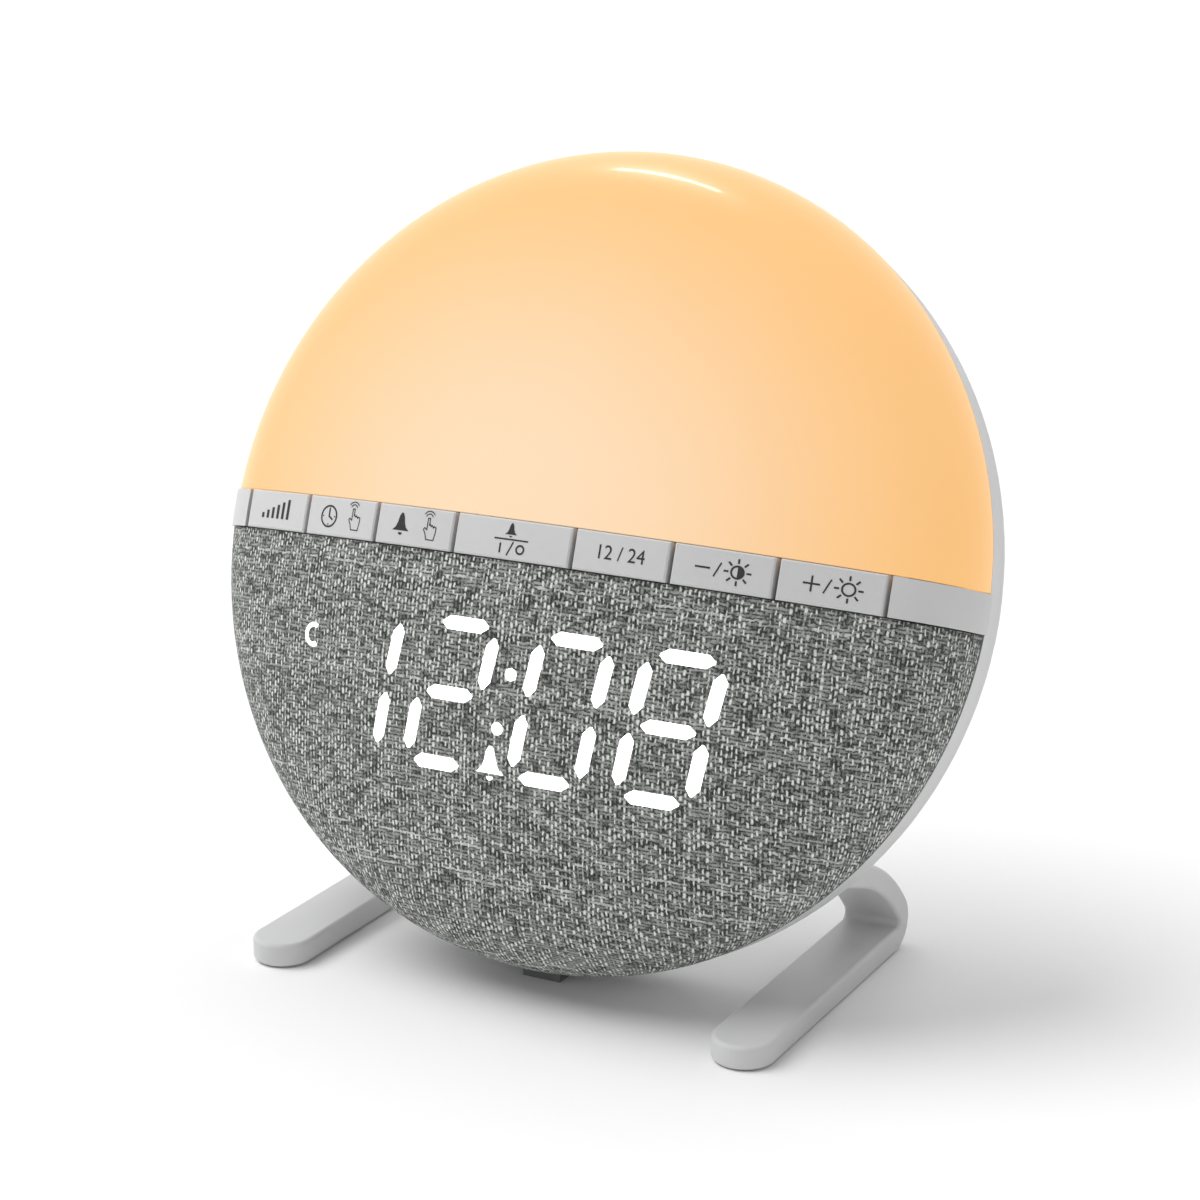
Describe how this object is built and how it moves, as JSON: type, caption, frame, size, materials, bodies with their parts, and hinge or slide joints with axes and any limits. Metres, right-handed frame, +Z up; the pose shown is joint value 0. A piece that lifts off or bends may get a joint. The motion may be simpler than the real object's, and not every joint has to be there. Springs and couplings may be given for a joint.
{
  "type": "sunrise alarm clock",
  "caption": "Round alarm clock leaning back on two C-shaped legs: a glowing dome above, a key strip across, a lit time display behind grey fabric below.",
  "frame": {"origin": "centre of the overall footprint, on the table under the feet", "axes": "+X to the clock's right as seen from the front, +Y towards the back, +Z up"},
  "size_m": [0.169, 0.0898, 0.1628],
  "materials": {
    "warm_diffuser": "satin translucent white, lit warm",
    "light_plastic": "fine satin",
    "dark_plastic": "matt",
    "white_plastic": "matt",
    "black_plastic": "matt",
    "grey_fabric": "coarse melange weave",
    "milky_segments": "milky, lit white",
    "green_board": "solder mask",
    "white_board": "white solder mask",
    "lamp_package": "clear lens over yellow die",
    "zinc_steel": "zinc plated",
    "steel_can": "bright rolled",
    "plated_contact": "plated",
    "black_rubber": "matt",
    "speaker_paper": "pressed paper",
    "ferrite": "sintered",
    "lead_jacket": "smooth",
    "ribbon_jacket": "white film"
  },
  "bodies": {
    "clock": {"battery_contacts": "plated_contact", "board_components": "black_plastic", "case_screws": "zinc_steel", "centre_foot": "black_rubber", "coin_cell": "steel_can", "control_bar": "light_plastic", "diffuser": "warm_diffuser", "display_board": "green_board", "display_housing": "white_plastic", "display_lamps": "lamp_package", "display_ribbon": "ribbon_jacket", "display_screws": "zinc_steel", "display_segments": "milky_segments", "fabric_cover": "grey_fabric", "front_shell": "dark_plastic", "inlet_pin": "plated_contact", "key_board": "green_board", "key_board_screws": "zinc_steel", "key_ribbon": "ribbon_jacket", "left_foot_pad": "black_rubber", "left_leg": "light_plastic", "leg_screws": "zinc_steel", "light_board": "white_board", "light_lamps": "lamp_package", "light_ribbon": "ribbon_jacket", "main_board": "green_board", "main_board_screws": "zinc_steel", "power_inlet": "black_plastic", "rear_cover": "light_plastic", "reflector": "white_plastic", "right_foot_pad": "black_rubber", "right_leg": "light_plastic", "speaker_cone": "speaker_paper", "speaker_frame": "zinc_steel", "speaker_gasket": "black_rubber", "speaker_leads": "lead_jacket", "speaker_magnet": "ferrite", "speaker_screws": "zinc_steel", "tact_switches": "black_plastic"},
    "brightness_button": {"brightness_key": "light_plastic", "brightness_plunger": "black_plastic"},
    "time_button": {"time_key": "light_plastic", "time_plunger": "black_plastic"},
    "alarm_button": {"alarm_key": "light_plastic", "alarm_plunger": "black_plastic"},
    "alarm_switch_button": {"alarm_switch_key": "light_plastic", "alarm_switch_plunger": "black_plastic"},
    "hour_mode_button": {"hour_mode_key": "light_plastic", "hour_mode_plunger": "black_plastic"},
    "minus_button": {"minus_key": "light_plastic", "minus_plunger": "black_plastic"},
    "plus_button": {"plus_key": "light_plastic", "plus_plunger": "black_plastic"},
    "battery_door": {"battery_door": "light_plastic"}
  },
  "joints": [
    {"name": "brightness_press", "type": "slide", "parent": "clock", "child": "brightness_button", "axis": [0, 0.9409, -0.3387], "range_m": [0, 0.0005], "stiffness_N_per_m": 2000},
    {"name": "time_press", "type": "slide", "parent": "clock", "child": "time_button", "axis": [0, 0.9409, -0.3387], "range_m": [0, 0.0005], "stiffness_N_per_m": 2000},
    {"name": "alarm_press", "type": "slide", "parent": "clock", "child": "alarm_button", "axis": [0, 0.9409, -0.3387], "range_m": [0, 0.0005], "stiffness_N_per_m": 2000},
    {"name": "alarm_switch_press", "type": "slide", "parent": "clock", "child": "alarm_switch_button", "axis": [0, 0.9409, -0.3387], "range_m": [0, 0.0005], "stiffness_N_per_m": 2000},
    {"name": "hour_mode_press", "type": "slide", "parent": "clock", "child": "hour_mode_button", "axis": [0, 0.9409, -0.3387], "range_m": [0, 0.0005], "stiffness_N_per_m": 2000},
    {"name": "minus_press", "type": "slide", "parent": "clock", "child": "minus_button", "axis": [0, 0.9409, -0.3387], "range_m": [0, 0.0005], "stiffness_N_per_m": 2000},
    {"name": "plus_press", "type": "slide", "parent": "clock", "child": "plus_button", "axis": [0, 0.9409, -0.3387], "range_m": [0, 0.0005], "stiffness_N_per_m": 2000},
    {"name": "battery_door_pull", "type": "slide", "parent": "clock", "child": "battery_door", "axis": [0, 0.9409, -0.3387], "range_m": [0, 0.008]}
  ]
}
